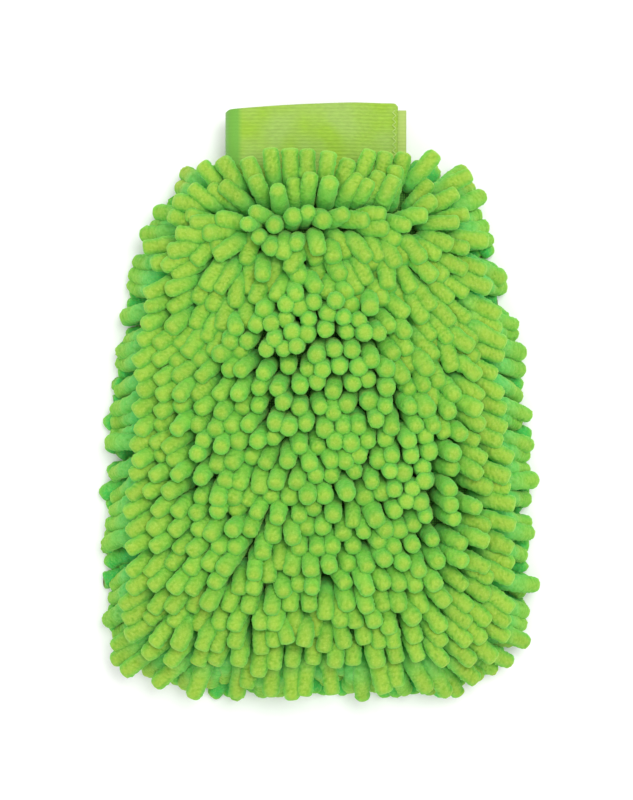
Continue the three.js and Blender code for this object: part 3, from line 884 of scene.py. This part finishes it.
def tube(points, radius, sides=8):
    """Points and quads of a round tube along a line of points, closed at both ends."""
    points = np.asarray(points, float)
    tangent = unit(np.gradient(points, axis=0))
    guide = unit(np.cross(tangent[0], [0.2, 0.1, 0.97]))
    angle = np.linspace(0, 2 * math.pi, sides, endpoint=False)
    rings = []
    for place, way in zip(points, tangent):
        guide = unit(guide - guide.dot(way) * way)
        across = np.cross(way, guide)
        rings.append(place + radius * (np.cos(angle)[:, None] * guide + np.sin(angle)[:, None] * across))
    rings = np.concatenate(rings)
    count = len(points)
    quads = grid_quads(count, sides, wrap_columns=True)
    around = np.arange(sides)
    after = (around + 1) % sides
    start, end, last = count * sides, count * sides + 1, (count - 1) * sides
    caps = [np.stack([after, np.full(sides, start), around, around], axis=1),
            np.stack([last + around, np.full(sides, end), last + after, last + after], axis=1)]
    points = np.concatenate([rings, points[:1], points[-1:]])
    return points, np.concatenate([quads, *caps])


STITCH = 1.5
THREAD = 0.24  # radius of the thread, which lies as a doubled strand
ZIGZAG_INSET, ZIGZAG_WIDTH = 2.6, 1.6


def cuff_stitching(material):
    """The zigzag that closes the cuff's side join, one thread going to and fro over the front edge."""
    middle = (CUFF_LOW[2] + CUFF_HIGH[2]) / 2
    bottom, top = MOUTH + 7, CUFF_HIGH[1] - 2.5
    loops = 6  # points to a stitch
    turns = int((top - bottom) / STITCH)
    points = []
    for turn in range(turns * loops):
        t = turn / loops
        x = CUFF_RIGHT_EDGE - ZIGZAG_INSET + ZIGZAG_WIDTH * abs((t % 2) - 1)
        lift = 0.15 * math.sin(math.pi * (t % 1))
        z = middle + float(cuff_front_height(np.array(x))) + ELASTIC / 2 + RIB_HEIGHT + 0.1 + lift
        points.append((x, bottom + t * STITCH, z))
    piece = mesh_object("cuff_zigzag_stitching", *tube(points, THREAD))
    stands_for(piece, "cuff_join_stitching", material)
    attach(piece, "cuff")
    return piece


def seam_line(inset, count):
    """Points round both sides and the finger end at an inset, from the left of the mouth to the right."""
    side_y = np.linspace(MOUTH, FINGER_END + CORNER, count)
    turn = np.linspace(0, math.pi / 2, count // 3)[1:]
    corner_y = FINGER_END + CORNER - (CORNER - inset) * np.sin(turn)
    y = np.concatenate([side_y, corner_y])
    x = half_width(y, inset)
    return np.concatenate([np.stack([-x, y], axis=1), np.stack([x, y], axis=1)[::-1]])


def side_seam_piece(material):
    """The seam allowance: a doubled edge of cloth that runs round the inside of the sewn outline."""
    outer, inner = seam_line(SEAM_EDGE, 60), seam_line(SEAM_INNER, 60)
    low, high = SEAM_LOW[2], SEAM_HIGH[2]
    rings = np.stack([np.column_stack([outer, np.full(len(outer), low + 0.1)]),
                      np.column_stack([outer, np.full(len(outer), high - 0.1)]),
                      np.column_stack([inner, np.full(len(outer), high - 0.25)]),
                      np.column_stack([inner, np.full(len(outer), low + 0.25)])], axis=1)
    quads = grid_quads(len(outer), 4, wrap_columns=True)
    last = (len(outer) - 1) * 4
    ends = [[3, 2, 1, 0], [last, last + 1, last + 2, last + 3]]
    piece = mesh_object("side_seam_allowance", rings.reshape(-1, 3), np.concatenate([quads, ends]))
    stands_for(piece, "side_seam", material)
    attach(piece, "mitt")
    return piece


def mouth_seam_piece(material):
    """The overlocked allowance inside the mouth that holds the cuff: a short ribbed ring."""
    low, high = box_mm("mouth_seam")
    around, rows = 160, 24
    across = np.concatenate([np.cos(np.linspace(0, math.pi, around // 2, endpoint=False)),
                             np.cos(np.linspace(math.pi, 2 * math.pi, around // 2, endpoint=False))])
    layer = np.concatenate([np.zeros(around // 2), np.ones(around // 2)])
    layer[[0, around // 2]] = 0.5
    y = np.linspace(low[1] + 0.2, high[1] - 0.4, rows)[:, None]
    rings = []
    for depth in (2.0, 2.9):
        x, z = mouth_ring(across[None, :], layer[None, :], depth + 0.12 * np.cos(2 * math.pi * y / 1.6))
        rings.append(np.stack([x, np.broadcast_to(y, x.shape), z], axis=-1))
    loop = np.concatenate([rings[0], rings[1][::-1]], axis=0)
    quads = grid_quads(2 * rows, around, wrap_rows=True, wrap_columns=True)
    piece = mesh_object("mouth_seam_allowance", loop.reshape(-1, 3), quads,
                        {"ridge": np.full(2 * rows * around, 0.4)})
    stands_for(piece, "mouth_seam", material)
    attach(piece, "mitt")
    return piece


# ---------------------------------------------------------------- camera, floor and light

def place_camera():
    """Straight above the middle of the mitt, cuff at the top of the view."""
    view_height = 376.5
    lens, sensor = 105.0, 36.0
    silhouette = 24.0
    data = bpy.data.cameras.new("camera")
    data.lens = lens
    data.sensor_width = sensor
    camera = bpy.data.objects.new("camera", data)
    bpy.context.scene.collection.objects.link(camera)
    camera.location = (0, 0, (lens / sensor * view_height + silhouette) * MM)
    data.clip_start, data.clip_end = 0.05, 20
    bpy.context.scene.camera = camera


def area_light(name, place, size, power, aim=(0, 0, 0)):
    data = bpy.data.lights.new(name, "AREA")
    data.shape = "DISK"
    data.size = size
    data.energy = power
    light = bpy.data.objects.new(name, data)
    bpy.context.scene.collection.objects.link(light)
    light.location = place
    way = np.array(aim, float) - np.array(place, float)
    light.rotation_mode = "QUATERNION"
    light.rotation_quaternion = Vector(way).to_track_quat("-Z", "Y")
    return light


def light_studio():
    """A white table under a large soft light from the upper right, with even light all round."""
    scene = bpy.context.scene
    scene.view_settings.view_transform = "Standard"
    world = bpy.data.worlds.new("studio")
    world.use_nodes = True
    set_inputs(world.node_tree.nodes["Background"], {"Color": (1, 1, 1, 1), "Strength": 0.78})
    scene.world = world
    area_light("key", (0.3, 0.32, 1.4), 0.7, 11)
    area_light("fill", (-0.35, -0.3, 1.4), 0.9, 4)
    material, tree, shader = new_material("white_table")
    grain = add_node(tree, "TexNoise", {"Scale": 30.0, "Detail": 2.0})
    ramp = add_node(tree, "ValToRGB", None, Fac=grain.outputs["Fac"])
    set_ramp(ramp, [(0.3, "f8f8f8"), (0.7, "fbfbfb")])
    tree.links.new(ramp.outputs["Color"], shader.inputs["Base Color"])
    set_inputs(shader, {"Roughness": 0.9, "Specular IOR Level": 0.1})
    half = 4000.0
    corners = [(-half, -half, -0.05), (half, -half, -0.05), (half, half, -0.05), (-half, half, -0.05)]
    table = mesh_object("table", np.array(corners), [[0, 1, 2, 3]])
    table.data.materials.append(material)


# ---------------------------------------------------------------- put it together

place_camera()
light_studio()
palm_noodles, back_noodles = place_noodles()
base_cloth = knit_material("green_knit_base_cloth", "6fb53a", "356f22", 1.1, 0.2)
lining_cloth = knit_material("pale_lime_lining", "dcebb6", "b4cf86", 0.8, 0.15)
elastic = elastic_material()
thread = thread_material()

sheet_piece("palm_base_cloth", "palm_cloth", CLOTH_LOW[2], PALM_RISE, CLOTH, 0.0, 1, base_cloth)
sheet_piece("back_base_cloth", "back_cloth", BACK_LOW[2] + BACK_SAG, BACK_SAG, CLOTH, 0.0, -1, base_cloth)
sheet_piece("palm_side_lining", "palm_lining", LINING_LOW[2], PALM_RISE - 1, LINING, LINING_INSET, 1,
            lining_cloth)
sheet_piece("back_side_lining", "back_lining", UNDER_LOW[2] + BACK_SAG, BACK_SAG, LINING, LINING_INSET, -1,
            lining_cloth)
side_seam_piece(base_cloth)
mouth_seam_piece(elastic)
cuff_stitching(thread)
cuff_piece(elastic)
